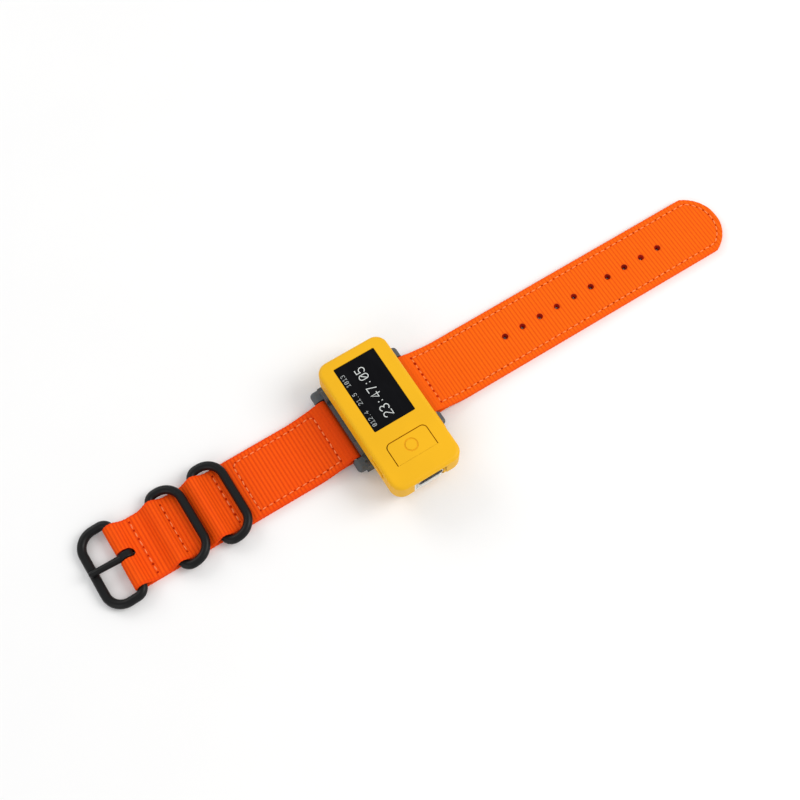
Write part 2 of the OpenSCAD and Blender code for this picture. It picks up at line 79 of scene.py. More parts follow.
softLights = [
    # name, place in metres, size, watts, colour
    ("keySoftbox", (0.55, -0.3, 0.62), 0.5, 4.1, (1.0, 0.99, 0.97)),
    ("backSoftbox", (-0.25, 0.7, 0.5), 0.5, 1.9, (1.0, 1.0, 1.0)),
    ("leftFill", (-0.65, -0.35, 0.45), 0.5, 1.2, (0.98, 0.99, 1.0)),
]
for name, place, size, watts, colour in softLights:
    data = bpy.data.lights.new(name, "AREA")
    data.size, data.energy, data.color = size, watts, colour
    light = bpy.data.objects.new(name, data)
    light.location = place
    light.rotation_euler = (aim - Vector(place)).to_track_quat("-Z", "Y").to_euler()
    bpy.context.scene.collection.objects.link(light)

room = dict(Color=(1, 1, 1, 1), Strength=0.6)
world = bpy.data.worlds.new("studioRoom")
world.use_nodes = True
for socket, value in room.items():
    world.node_tree.nodes["Background"].inputs[socket].default_value = value
bpy.context.scene.world = world
bpy.context.scene.view_settings.view_transform = "Standard"


print("stage: materials")


# A material under construction: its node tree, its shader, and short calls that add nodes.
class Finish:
    def __init__(self, name, colour, roughness=0.5, metallic=0.0, **sockets):
        self.material = bpy.data.materials.new(name)
        self.material.use_nodes = True
        self.material.diffuse_color = (*colour, 1)
        self.tree = self.material.node_tree
        self.shader = self.tree.nodes["Principled BSDF"]
        self.set("Base Color", (*colour, 1))
        self.set("Roughness", roughness)
        self.set("Metallic", metallic)
        for socket, value in sockets.items():
            self.set(socket.replace("_", " "), value)

    def set(self, socket, value):
        self.shader.inputs[socket].default_value = value

    def link(self, output, socket):
        self.tree.links.new(output, self.shader.inputs[socket])

    def feed(self, node, socket, value):
        if isinstance(value, bpy.types.NodeSocket):
            self.tree.links.new(value, node.inputs[socket])
        else:
            node.inputs[socket].default_value = value

    def coordinates(self, scale=(1, 1, 1)):
        place = self.tree.nodes.new("ShaderNodeTexCoord")
        mapping = self.tree.nodes.new("ShaderNodeMapping")
        mapping.inputs["Scale"].default_value = scale
        self.tree.links.new(place.outputs["Object"], mapping.inputs["Vector"])
        return mapping.outputs["Vector"]

    def noise(self, vector, scale, detail=3.0, roughness=0.5):
        node = self.tree.nodes.new("ShaderNodeTexNoise")
        self.feed(node, "Vector", vector)
        self.feed(node, "Scale", scale)
        self.feed(node, "Detail", detail)
        self.feed(node, "Roughness", roughness)
        return node.outputs["Fac"]

    def calc(self, operation, a, b=0.0, c=0.0, clamp=False):
        node = self.tree.nodes.new("ShaderNodeMath")
        node.operation, node.use_clamp = operation, clamp
        for slotIndex, value in enumerate((a, b, c)):
            self.feed(node, slotIndex, value)
        return node.outputs[0]

    def band(self, value, low, high, atLow=0.0, atHigh=1.0):
        node = self.tree.nodes.new("ShaderNodeMapRange")
        node.interpolation_type = "SMOOTHSTEP"
        sockets = ("Value", "From Min", "From Max", "To Min", "To Max")
        for socket, number in zip(sockets, (value, low, high, atLow, atHigh)):
            self.feed(node, socket, number)
        return node.outputs["Result"]

    # Rounded ridges, one to each whole step of the value: 0 in the groove and 1 on top.
    def ridges(self, value):
        return self.calc("ABSOLUTE", self.calc("SINE", self.calc("MULTIPLY", value, math.pi)))

    def uvParts(self, uvName):
        uv = self.tree.nodes.new("ShaderNodeUVMap")
        uv.uv_map = uvName
        split = self.tree.nodes.new("ShaderNodeSeparateXYZ")
        self.tree.links.new(uv.outputs["UV"], split.inputs[0])
        return split.outputs[0], split.outputs[1]

    def mix(self, factor, first, second, blend="MIX"):
        node = self.tree.nodes.new("ShaderNodeMix")
        node.data_type, node.blend_type = "RGBA", blend
        self.feed(node, 0, factor)
        for slotIndex, colour in ((6, first), (7, second)):
            self.feed(node, slotIndex, colour if isinstance(colour, bpy.types.NodeSocket) else (*colour, 1))
        return node.outputs[2]

    # Gloss that spreads evenly either side of a roughness, after a noise.
    def unevenGloss(self, noise, roughness, spread):
        self.link(self.calc("MULTIPLY_ADD", noise, spread, roughness - spread / 2), "Roughness")

    def bump(self, height, distance):
        node = self.tree.nodes.new("ShaderNodeBump")
        self.feed(node, "Height", height)
        node.inputs["Distance"].default_value = distance
        node.inputs["Strength"].default_value = 1.0
        self.link(node.outputs["Normal"], "Normal")


def shaded(colour, share):
    return tuple(min(1, c * share) for c in colour)


# Scales of the noises that vary the finishes, in cells per metre.
noiseScale = dict(plasticTone=55, plasticGrain=3800, metalDull=220, metalAlong=120.0, metalAcross=2600.0,
                  wirePeel=1500, wireRub=900, windowWipe=420, boardTraces=420.0,
                  webbingTone=140, webbingFibre=5200, threadHair=6000, litMottle=900, paper=30)


# Moulded plastic: a fine spark-eroded grain, with slow changes of tone and gloss.
def mouldedPlastic(name, colour, roughness=0.5, grain=0.012, tone=0.06, **sockets):
    finish = Finish(name, colour, roughness, **sockets)
    place = finish.coordinates()
    slow = finish.noise(place, noiseScale["plasticTone"], 2)
    fine = finish.noise(place, noiseScale["plasticGrain"], 3, 0.6)
    slowMix = finish.mix(finish.band(slow, 0.3, 0.7), shaded(colour, 1 - tone), shaded(colour, 1 + tone))
    finish.link(slowMix, "Base Color")
    finish.unevenGloss(fine, roughness, 0.18)
    finish.bump(fine, grain * mm)
    return finish.material


# Metal with fine drawn lines along one axis and a few duller patches.
def drawnMetal(name, colour, roughness=0.3, along=1, **sockets):
    finish = Finish(name, colour, roughness, 1.0, **sockets)
    scale = [noiseScale["metalAcross"]] * 3
    scale[along] = noiseScale["metalAlong"]
    lines = finish.noise(finish.coordinates(scale), 1, 2)
    dull = finish.noise(finish.coordinates(), noiseScale["metalDull"], 2)
    finish.link(finish.mix(finish.band(dull, 0.35, 0.75), colour, shaded(colour, 0.86)), "Base Color")
    finish.unevenGloss(lines, roughness, 0.2)
    finish.bump(lines, 0.004 * mm)
    return finish.material


# Coated wire: satin black over steel, slightly orange-peeled, with rare small rubbed spots.
def coatedWire(name, colour, rubbed):
    roughness = 0.42
    finish = Finish(name, colour, roughness, Specular_IOR_Level=0.22)
    place = finish.coordinates()
    peel = finish.noise(place, noiseScale["wirePeel"], 2)
    rub = finish.band(finish.noise(place, noiseScale["wireRub"], 4, 0.65), 0.71, 0.76)
    finish.link(finish.mix(rub, colour, rubbed), "Base Color")
    finish.unevenGloss(peel, roughness, 0.16)
    finish.bump(peel, 0.012 * mm)
    return finish.material


# Polished window: nearly black, with faint wiping marks in the gloss.
def polishedWindow(name, colour):
    finish = Finish(name, colour, 0.08, Specular_IOR_Level=0.06)
    place = finish.coordinates((1, 0.25, 1))
    wiped = finish.noise(place, noiseScale["windowWipe"], 4, 0.6)
    finish.link(finish.calc("MULTIPLY_ADD", wiped, 0.1, 0.06), "Roughness")
    finish.link(finish.mix(finish.band(wiped, 0.4, 0.8), colour, shaded(colour, 1.5)), "Base Color")
    return finish.material


# Circuit board: solder mask over a pattern of square copper traces.
def solderMask(name, colour, trace):
    finish = Finish(name, colour, 0.35, Coat_Weight=0.3)
    node = finish.tree.nodes.new("ShaderNodeTexBrick")
    finish.feed(node, "Vector", finish.coordinates())
    pattern = {"Scale": noiseScale["boardTraces"], "Mortar Size": 0.06, "Brick Width": 0.9, "Row Height": 0.4}
    for socket, number in pattern.items():
        node.inputs[socket].default_value = number
    finish.link(finish.mix(node.outputs["Fac"], colour, trace), "Base Color")
    finish.bump(node.outputs["Fac"], 0.02 * mm)
    return finish.material


webbingLook = dict(
    yarnPitch=0.42,     # lengthwise yarns, in millimetres
    yarnBump=0.045, fibreBump=0.02,
    selvageStart=9.9,   # the edge band with no ribs begins here, from the middle
    # The valley and yarn shares below darken toward the groove colour: painted shade between the ribs and between
    # the yarns.
    valleyShade=0.6, yarnGapShade=0.22, selvageTone=0.55, slowTone=0.14, fibreTone=0.16,
)


# Ribbed webbing in its own coordinates: u along the band and v across it, in millimetres over 100.
# The rib is a rounded ridge in u. Each ridge is crossed by lengthwise yarns, which step half a yarn
# from one ridge to the next.
def ribbedWebbing(name, ridge, groove, selvage, ribPitch):
    finish = Finish(name, ridge, 0.75, Sheen_Weight=0.08, Sheen_Roughness=0.45, Specular_IOR_Level=0.1)
    finish.set("Sheen Tint", (*ridge, 1))
    w = webbingLook
    u, v = (finish.calc("MULTIPLY", part, 100) for part in finish.uvParts("webbing"))
    ribStrength, shade = finish.uvParts("ribStrength")
    ribPhase = finish.calc("DIVIDE", u, ribPitch)
    valley = finish.calc("MULTIPLY", finish.band(finish.ridges(ribPhase), 0.25, 1.0, 1.0, 0.0), ribStrength)
    halfStep = finish.calc("MULTIPLY", finish.calc("FLOOR", ribPhase), 0.5)
    yarn = finish.ridges(finish.calc("ADD", finish.calc("DIVIDE", v, w["yarnPitch"]), halfStep))
    place = finish.coordinates()
    slow = finish.noise(place, noiseScale["webbingTone"], 3)
    fibre = finish.noise(place, noiseScale["webbingFibre"], 2)
    fromMiddle = finish.calc("ABSOLUTE", v)
    nearEdge = finish.band(fromMiddle, w["selvageStart"], w["selvageStart"] + 0.5, 0.0, w["selvageTone"])
    paleFibre = tuple(min(1, c * 1.15 + 0.02) for c in ridge)
    # The groove colour is painted shade: it darkens the valleys between ribs, the gaps between yarns, and the
    # places the shade attribute marks.
    colour = finish.mix(finish.calc("MULTIPLY", valley, w["valleyShade"]), ridge, groove)
    for share, tone in ((finish.band(yarn, 0.0, 0.55, w["yarnGapShade"], 0.0), groove),
                        (nearEdge, selvage),
                        (finish.band(slow, 0.3, 0.7, 0.0, w["slowTone"]), selvage),
                        (finish.band(fibre, 0.45, 0.75, 0.0, w["fibreTone"]), paleFibre),
                        (shade, groove)):
        colour = finish.mix(share, colour, tone)
    finish.link(colour, "Base Color")
    finish.link(finish.band(fibre, 0.2, 0.8, 0.64, 0.82), "Roughness")
    finish.bump(finish.calc("ADD", finish.calc("MULTIPLY", yarn, w["yarnBump"]),
                            finish.calc("MULTIPLY", fibre, w["fibreBump"])), mm)
    return finish.material


# Sewing thread: two plies twisted round each other, read from the thread's own coordinates.
def twistedThread(name, colour, dark, twists=5, plies=2):
    finish = Finish(name, colour, 0.6, Sheen_Weight=0.3)
    along, around = finish.uvParts("thread")
    twist = finish.calc("ADD", finish.calc("MULTIPLY", along, twists), finish.calc("MULTIPLY", around, plies))
    ply = finish.ridges(twist)
    hair = finish.noise(finish.coordinates(), noiseScale["threadHair"], 2)
    # The dark colour between the plies is painted shade in the grooves of the twist.
    finish.link(finish.mix(finish.band(ply, 0.0, 0.6, 0.7, 0.0), colour, dark), "Base Color")
    finish.link(finish.band(hair, 0.2, 0.8, 0.5, 0.7), "Roughness")
    finish.bump(ply, 0.03 * mm)
    return finish.material


webbingColours = dict(
    # The groove colours are painted shade for the valleys between ribs and yarns; the thread's dark colour is
    # painted shade between its plies; pit and melted are painted shade inside the needle holes and pierced holes.
    longRidge=(0.96, 0.14, 0.001), longGroove=(0.68, 0.062, 0.001), longSelvage=(0.92, 0.09, 0.001),
    shortRidge=(0.94, 0.098, 0.001), shortGroove=(0.6, 0.036, 0.001), shortSelvage=(0.82, 0.05, 0.001),
    threadLong=(1.0, 0.27, 0.04), threadShort=(1.0, 0.24, 0.05), threadPlyShade=(0.7, 0.1, 0.005),
    pit=(0.42, 0.018, 0.001), melted=(0.3, 0.006, 0.001),
)

dullPlastic = dict(Specular_IOR_Level=0.22)
# name, colour, roughness, depth of grain in millimetres, and change of tone, by material slot
materials = {
    "case_yellow": mouldedPlastic("yellowCase", (0.82, 0.43, 0.005), 0.5, 0.01, 0.03, **dullPlastic),
    "button_orange": mouldedPlastic("yellowCaps", (0.79, 0.4, 0.005), 0.5, 0.01, 0.04, **dullPlastic),
    "display_black": polishedWindow("displayWindow", (0.004, 0.004, 0.005)),
    "panel_glass": polishedWindow("panelGlass", (0.01, 0.01, 0.014)),
    "white_plastic": mouldedPlastic("whitePlastic", (0.8, 0.8, 0.77), 0.45, 0.006),
    "board_green": solderMask("boardMask", (0.012, 0.09, 0.035), (0.03, 0.16, 0.06)),
    "black_plastic": mouldedPlastic("blackPlastic", (0.018, 0.018, 0.02), 0.4, 0.008, 0.2),
    "steel": drawnMetal("plainSteel", (0.56, 0.56, 0.55), 0.32),
    "socket_steel": drawnMetal("brightSocket", (0.75, 0.75, 0.74), 0.24),
    "contact_brass": drawnMetal("goldContacts", (0.83, 0.6, 0.24), 0.25, 0),
    "battery_foil": drawnMetal("batteryFoil", (0.72, 0.73, 0.75), 0.4, 0),
    "foam": mouldedPlastic("openFoam", (0.03, 0.03, 0.032), 0.9, 0.12, 0.3),
    "red_plastic": mouldedPlastic("redLamp", (0.45, 0.03, 0.02), 0.25, 0.003),
    "cradle_grey": mouldedPlastic("greyCradle", (0.068, 0.078, 0.085), 0.55, 0.016, 0.1),
    "black_wire": coatedWire("blackWire", (0.004, 0.0042, 0.0045), (0.04, 0.04, 0.042)),
}
slotOf = {part["node"]: part["material_slot"] for part in frame["record"]["subparts"]}
for node, piece in frame["nodes"].items():
    if slotOf[node] in materials:
        piece.data.materials.clear()
        piece.data.materials.append(materials[slotOf[node]])

# Dark red needle pits: painted shade in the needle holes.
pitShadeMaterial = mouldedPlastic("needleHoleShade", webbingColours["pit"], 0.8, 0.01, 0.3,
                             Specular_IOR_Level=0.05)
# Very dark red for the walls of the pierced holes and the prong slot: painted shade inside them.
wallShadeMaterial = mouldedPlastic("piercedWallShade", webbingColours["melted"], 0.45, 0.02, 0.3,
                                Specular_IOR_Level=0.15)


print("stage: mesh helpers")


# Quads of a grid of rows by columns, joined round where a direction closes.
def gridQuads(rows, columns, rowsClose=False, columnsClose=False):
    i = np.arange(rows if rowsClose else rows - 1)[:, None]
    j = np.arange(columns if columnsClose else columns - 1)[None, :]
    a, b = i * columns, (i + 1) % rows * columns
    k = (j + 1) % columns
    return np.stack([a + j, a + k, b + k, b + j], -1).reshape(-1, 4)


# Puts points and quads in a new mesh object, with any UV maps given per point; uvs is {name: points by 2}.
def makePiece(name, points, quads, pieceMaterials, uvs=None, smooth=True):
    mesh = bpy.data.meshes.new(name)
    quads = np.asarray(quads, np.int32)
    corners = quads.shape[1]
    mesh.vertices.add(len(points))
    mesh.vertices.foreach_set("co", np.asarray(points, np.float32).ravel())
    mesh.loops.add(quads.size)
    mesh.loops.foreach_set("vertex_index", quads.ravel())
    mesh.polygons.add(len(quads))
    mesh.polygons.foreach_set("loop_start", np.arange(0, quads.size, corners, dtype=np.int32))
    for uvName, uv in (uvs or {}).items():
        layer = mesh.uv_layers.new(name=uvName)
        layer.uv.foreach_set("vector", np.asarray(uv, np.float32)[quads.ravel()].ravel())
    mesh.polygons.foreach_set("use_smooth", np.full(len(quads), smooth))
    mesh.update(calc_edges=True)
    mesh.validate()
    piece = bpy.data.objects.new(name, mesh)
    for material in pieceMaterials:
        mesh.materials.append(material)
    bpy.context.scene.collection.objects.link(piece)
    return piece


# Closes the cutter's open ends, cuts it out of the piece and leaves the piece with a plain mesh.
# The cut walls take the cutter's material.
def cutAway(piece, cutter):
    closing = bmesh.new()
    closing.from_mesh(cutter.data)
    bmesh.ops.holes_fill(closing, edges=closing.edges[:], sides=0)
    bmesh.ops.recalc_face_normals(closing, faces=closing.faces[:])
    closing.to_mesh(cutter.data)
    closing.free()
    change = piece.modifiers.new("cut", "BOOLEAN")
    change.operation, change.object, change.solver = "DIFFERENCE", cutter, "EXACT"
    change.material_mode = "TRANSFER"
    settled = bpy.data.meshes.new_from_object(piece.evaluated_get(bpy.context.evaluated_depsgraph_get()))
    piece.modifiers.clear()
    piece.data = settled
    bpy.data.objects.remove(cutter)


print("stage: webbing")

barHinge = hinges["strap_long_swing"]
longLow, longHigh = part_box("strap_long")
webbing = dict(
    barS=barHinge.x / mm, barZ=barHinge.z / mm,     # middle of the spring bar
    width=(longHigh.y - longLow.y) / mm,
    layer=1.0,            # one layer of the folded strap
    layerGap=0.03,        # air between the two layers
    loopOut=longHigh.z / mm - barHinge.z / mm,      # outside of the loop round the bar
    ramp=14.0, throat=5.0,
    ribPitch=1.25, ribDepth=0.09, ribSamples=8, ribPower=1.1,
    flatFrom=9.6, flatFade=0.8, flatShare=0.75,     # the ribs fade beside the selvage
    edgeWave=0.08,        # the selvages pull in between the ribs
    sway=0.03,            # slow unevenness of the surface
    # insideShade: painted shade on the inside faces of a layer, where the two layers shade each other.
    insideShade=0.25,
    columns=44, innerColumns=5, edgePoints=5,
    tangentReach=0.12,    # the tangent is taken over this much of the path on both sides
    tipSamples=18,
)


def ease(t):
    return (1 - np.cos(np.pi * np.clip(t, 0, 1))) / 2


# Upper or lower outside line of a strap, z against s: the middle line comes down from the bar to the
# table over the ramp, and the half thickness closes from the loop to two layers over the throat.
def outsideLine(s, side):
    w = webbing
    middle = w["barZ"] + (w["layer"] - w["barZ"]) * ease((s - w["barS"]) / w["ramp"])
    half = w["layer"] + (w["loopOut"] - w["layer"]) * (1 - ease((s - w["barS"]) / w["throat"]))
    return middle + side * half


# Smooth hump of a given rise that ends at reach on both sides.
def hump(s, at, rise, reach):
    return rise * (1 - ease(np.abs(s - at) / reach))


# The outside of the loop round the spring bar, as a half circle from its top to its bottom.
def loopArc():
    a = np.radians(np.arange(90, 271, 3))
    return np.stack([webbing["barS"] + webbing["loopOut"] * np.cos(a),
                     webbing["barZ"] + webbing["loopOut"] * np.sin(a)], -1)


# The line from the ramp's foot over the upper outside, round the bar and back along the lower outside.
def roundTheBar():
    return (list(zip(rampS, outsideLine(rampS, 1))) + list(loopArc())
            + list(zip(rampS[::-1], outsideLine(rampS[::-1], -1))))


# A strap's outside line as an evenly stepped path, with its distance along, unit tangent and outward
# normal in the (s, z) plane. Steps near an open tip are finer, in squares of their distance, so that
# the round end stays round.
def walkPath(line, closed):
    line = np.array(line)
    if closed:
        line = np.vstack([line, line[:1]])
    length = np.append(0, np.cumsum(np.linalg.norm(np.diff(line, axis=0), axis=1)))
    total = length[-1]
    ribs = round(total / webbing["ribPitch"])
    steps = ribs * webbing["ribSamples"]
    u = np.linspace(0, total, steps + 1)
    if closed:
        u = u[:-1]
    else:
        near = webbing["ribPitch"] * np.linspace(0, 1, webbing["tipSamples"])**2
        between = u[(u > near[-1]) & (u < total - near[-1])]
        u = np.unique(np.concatenate([near, between, total - near]).round(6))
    at = np.stack([np.interp(u, length, line[:, k]) for k in (0, 1)], -1)
    reach = webbing["tangentReach"]
    before = np.mod(u - reach, total) if closed else np.clip(u - reach, 0, total)
    after = np.mod(u + reach, total) if closed else np.clip(u + reach, 0, total)
    tangent = np.stack([np.interp(after, length, line[:, k]) - np.interp(before, length, line[:, k])
                        for k in (0, 1)], -1)
    tangent /= np.linalg.norm(tangent, axis=1)[:, None]
    normal = np.stack([tangent[:, 1], -tangent[:, 0]], -1)
    return dict(u=u, at=at, tangent=tangent, normal=normal, total=total, pitch=total / ribs, closed=closed,
                turn=int(np.argmin(at[:, 0])))


# One layer of webbing carried along the path. Across the band the outline is flat outside, half round
# at both selvages and flat inside. Outside, the grooves between ribs and the lines pulled in by
# stitching go below the surface. Inside, the layer may be thinned where a wire has to pass.
def makeBand(name, path, side, halfWidth, endDistance, grooves, smoothNear, shadeNear, band):
    w = webbing
    u, at, normal = path["u"], path["at"], path["normal"]
    thick = w["layer"] - w["layerGap"]
    r = thick / 2
    outer = np.linspace(-1, 1, w["columns"])
    inner = np.linspace(1, -1, w["innerColumns"])
    arc = np.linspace(0, np.pi, w["edgePoints"] + 2)[1:-1]
    flat = np.concatenate([outer, np.ones(arc.size), inner, -np.ones(arc.size)])
    bulge = np.concatenate([0 * outer, np.sin(arc), 0 * inner, -np.sin(arc)])
    depth = np.concatenate([0 * outer, r * (1 - np.cos(arc)), 0 * inner + thick, r * (1 + np.cos(arc))])
    facing = np.concatenate([0 * outer + 1, np.clip(np.cos(arc), 0, 1),
                             0 * inner, np.clip(-np.cos(arc), 0, 1)])
    ridge = np.abs(np.sin(np.pi * u / path["pitch"]))**w["ribPower"]      # 0 in a groove and 1 on a ridge
    strength = smoothNear(at[:, 0], at[:, 1])
    half = halfWidth - w["edgeWave"] * (1 - ridge) * strength * (halfWidth > 2 * r)
    edge = np.minimum(r, half)
    y = flat[None, :] * (half - edge)[:, None] + bulge[None, :] * edge[:, None]
    taper = np.sqrt(1 - (1 - np.clip(endDistance / r, 0, 1))**2)
    deep = r + (depth[None, :] - r) * taper[:, None]
    selvage = 1 - w["flatShare"] * ease((np.abs(y) - w["flatFrom"]) / w["flatFade"])
    sunk = w["ribDepth"] * (1 - ridge)[:, None] * strength[:, None] * selvage
    sunk = sunk + grooves(at[:, 0][:, None], y)
    swayA, swayB = band["sway"]
    swayAcross = 1 + np.cos(y * swayB + u[:, None] * 0.11)
    sunk = sunk + w["sway"] * (1 + np.sin(u * swayA + 1.3))[:, None] * swayAcross / 2
    deep = deep + sunk * facing[None, :] * taper[:, None]
    if "thinned" in band:
        deep = deep - band["thinned"](at[:, 0][:, None], at[:, 1][:, None], y) * (1 - facing)[None, :]
    s = at[:, 0][:, None] - normal[:, 0][:, None] * deep
    z = at[:, 1][:, None] - normal[:, 1][:, None] * deep
    points = np.stack([side * s, y, z], -1).reshape(-1, 3) * mm
    quads = gridQuads(len(u), flat.size, path["closed"], True)
    if side > 0:
        quads = quads[:, ::-1]
    uv = np.stack([np.broadcast_to(u[:, None], y.shape), y], -1).reshape(-1, 2) / 100
    # Painted shade: shadeNear on the outside faces, and an even share on the inside faces.
    shade = shadeNear(at[:, 0][:, None], y) * facing[None, :] + (1 - facing)[None, :] * w["insideShade"]
    ribs = np.broadcast_to(strength[:, None], y.shape) * facing[None, :]
    ribsAndShade = np.stack([ribs, np.clip(shade, 0, 1)], -1).reshape(-1, 2)
    return makePiece(name, points, quads, [band["material"]], {"webbing": uv, "ribStrength": ribsAndShade})


# Places points given as (s, y) on a strap's upper or lower outside, raised by lift, and gives the
# surface normal there too.
def onStrap(path, side, upper, s, y, lift):
    at, normal, turn = path["at"], path["normal"], path["turn"]
    part = slice(0, turn + 1) if upper else slice(turn, None)
    known, order = at[part, 0], np.argsort(at[part, 0])
    z = np.interp(s, known[order], at[part, 1][order])
    ns = np.interp(s, known[order], normal[part, 0][order])
    nz = np.interp(s, known[order], normal[part, 1][order])
    place = np.stack([side * (s + ns * lift), y, z + nz * lift], -1)
    return place, np.stack([side * ns, 0 * y, nz], -1)


# Stitch ends at an even pitch along a sewn line given as points (s, y).
def stitchEnds(line, pitch):
    line = np.array(line, float)
    length = np.append(0, np.cumsum(np.linalg.norm(np.diff(line, axis=0), axis=1)))
    count = max(2, round(length[-1] / pitch))
    at = np.linspace(0, length[-1], count + 1)
    return np.stack([np.interp(at, length, line[:, k]) for k in (0, 1)], -1)


threadSize = dict(
    wide=0.2, high=0.14,      # half width and half height
    dive=0.3,                 # both ends go this far below the sewn line
    shorten=0.15,             # share of the pitch left free at each end
    leanChance=0.075, liftChance=0.03,
    rings=7, sides=6,
    pitHalf=0.23, pitChance=(0.7, 1.15), pitSides=8,
    pitProfile=((0.15, 0.02), (1.0, 0.0), (1.0, -0.35), (0.15, -0.35)),     # share of the radius, and height
)


# Copies of one patch of quads for repeated shapes whose points follow each other.
def repeatQuads(one, count, each):
    return (one[None] + (np.arange(count) * each)[:, None, None]).reshape(-1, 4)


# All the stitches of a strap in one mesh. Each is a flattened tube from hole to hole: its middle lies
# on the sewn line and both ends dive into the webbing, with a little chance in its lean and height.
def makeStitches(name, path, side, rows, seed, material):
    t = threadSize
    chance = np.random.default_rng(seed)
    allPoints, allUv, pits = [], [], []
    for row in rows:
        for upper in (True, False):
            ends = stitchEnds(row["line"], row["pitch"])
            a, b = ends[:-1], ends[1:]
            lean = chance.normal(0, t["leanChance"], a.shape)
            across = (b - a)[:, ::-1] * [-1, 1] / np.linalg.norm(b - a, axis=1)[:, None]
            a, b = a + across * lean, b - across * lean
            along = np.linspace(t["shorten"], 1 - t["shorten"], t["rings"])
            plan = a[:, None] + (b - a)[:, None] * along[None, :, None]
            arch = np.sin(np.pi * np.linspace(0, 1, t["rings"]))**0.45
            lift = -row["sunk"] - t["dive"] * (1 - arch) + chance.normal(0, t["liftChance"], (len(a), 1))
            centre, normal = onStrap(path, side, upper, plan[..., 0], plan[..., 1], lift)
            forward = np.gradient(centre, axis=1)
            forward /= np.linalg.norm(forward, axis=2)[..., None]
            sideways = np.cross(forward, normal)
            sideways /= np.linalg.norm(sideways, axis=2)[..., None]
            upward = np.cross(sideways, forward)
            angle = np.linspace(0, 2 * np.pi, t["sides"], endpoint=False)
            full = np.sin(np.pi * (0.12 + 0.76 * np.linspace(0, 1, t["rings"])))**0.5
            across = sideways[:, :, None] * (t["wide"] * np.cos(angle))[:, None]
            high = upward[:, :, None] * (t["high"] * np.sin(angle))[:, None]
            ring = centre[:, :, None] + across * full[:, None, None] + high * full[:, None, None]
            allPoints.append(ring.reshape(len(a), -1, 3))
            uv = np.stack(np.meshgrid(along, np.arange(t["sides"]) / t["sides"], indexing="ij"), -1)
            uv = uv.reshape(-1, 2)
            allUv.append(np.broadcast_to(uv, (len(a), *uv.shape)))
            hole, holeNormal = onStrap(path, side, upper, ends[:, 0], ends[:, 1], row["pitLift"])
            grown = chance.uniform(*t["pitChance"], len(hole)) * row.get("pitScale", 1.0) * t["pitHalf"]
            pits.append((hole, holeNormal, grown))
    points = np.concatenate(allPoints)
    uv = np.concatenate(allUv)
    count, each = points.shape[:2]
    one = gridQuads(t["rings"], t["sides"], False, True)
    capA, capB = np.arange(t["sides"]), np.arange(t["sides"]) + (t["rings"] - 1) * t["sides"]
    caps = np.array([[capA[0], capA[3], capA[2], capA[1]], [capA[0], capA[5], capA[4], capA[3]],
                     [capB[0], capB[1], capB[2], capB[3]], [capB[0], capB[3], capB[4], capB[5]]])
    quads = repeatQuads(np.vstack([one, caps]), count, each)
    threads = makePiece(name, points.reshape(-1, 3) * mm, quads, [material], {"thread": uv.reshape(-1, 2)})
    # Needle pits: small buttons of a few sides at the stitch ends, sunk into the webbing; their dark red is
    # painted shade in the needle holes.
    centre, normal, grown = (np.concatenate([pit[k] for pit in pits]) for k in range(3))
    first = np.cross(normal, [0, 1, 0])
    second = np.cross(normal, first)
    angle = np.linspace(0, 2 * np.pi, t["pitSides"], endpoint=False)
    outline = first[:, None] * np.cos(angle)[:, None] + second[:, None] * np.sin(angle)[:, None]
    rings = [centre[:, None] + share * grown[:, None, None] * outline + lift * normal[:, None]
             for share, lift in t["pitProfile"]]
    pitPoints = np.stack(rings, 1).reshape(-1, 3)
    perPit = len(rings) * t["pitSides"]
    quads = repeatQuads(gridQuads(len(rings), t["pitSides"], True, True), len(centre), perPit)
    needleHoleShade = makePiece(name + "_pits", pitPoints * mm, quads, [pitShadeMaterial])
    return threads, needleHoleShade


# Depth of the line pulled in by a row of stitching: a narrow trough beside each sewn line.
def trough(distance, depth=0.16, reach=0.55):
    return depth * np.exp(-(distance / reach)**2)


holedStrap = dict(
    tipRound=12.0, tipSewnIn=1.9,         # the tip's radius, and how far in its row of stitching runs
    crossRow=3.8,                         # the cross row, from the spring bar
    holePitch=6.75, firstHole=48.3, holeCount=10, holeRadius=1.1, holeSides=32,
    # rimShade is painted shade round a hole, where the webbing dips.
    rimSunk=0.18, rimShade=0.35,          # the webbing dips and darkens round a hole
    pitch=2.3,                            # of the stitches
    sway=(0.21, 0.31),
)
buckleStrap = dict(
    crossRow=4.4, boxEnd=13.2,            # the sewn box, from the spring bar to this far before the near ring
    humpReach=5.0, pitch=2.4, crossPitch=2.9,
    slotHalf=1.5, slotIn=3.0, slotOut=4.0,
    roomDepth=0.4, roomReach=3.2, roomFrom=8.6, roomAbove=2.3,
    sway=(0.23, 0.33),
)
twoLayers = 2 * webbing["layer"]
sewnIn = webbing["width"] / 2 - 2.2       # the long rows of stitching, from the middle
rampFoot = webbing["barS"] + webbing["ramp"]
rampS = np.arange(rampFoot, webbing["barS"], -0.1)

longTip, tipRound = longHigh.x / mm, holedStrap["tipRound"]
longRow = webbing["barS"] + holedStrap["crossRow"]
longTopLine = [(s, twoLayers) for s in np.arange(longTip, rampFoot, -0.25)]
longUnderLine = [(s, z - twoLayers) for s, z in longTopLine[::-1]]
longPath = walkPath(longTopLine + roundTheBar() + longUnderLine, False)

longS = longPath["at"][:, 0]
tipArcHalf = np.sqrt(np.clip(tipRound**2 - np.clip(longS - (longTip - tipRound), 0, tipRound)**2, 0, None))
longHalf = np.minimum(webbing["width"] / 2, tipArcHalf)
endDistance = np.minimum(longPath["u"], longPath["total"] - longPath["u"])

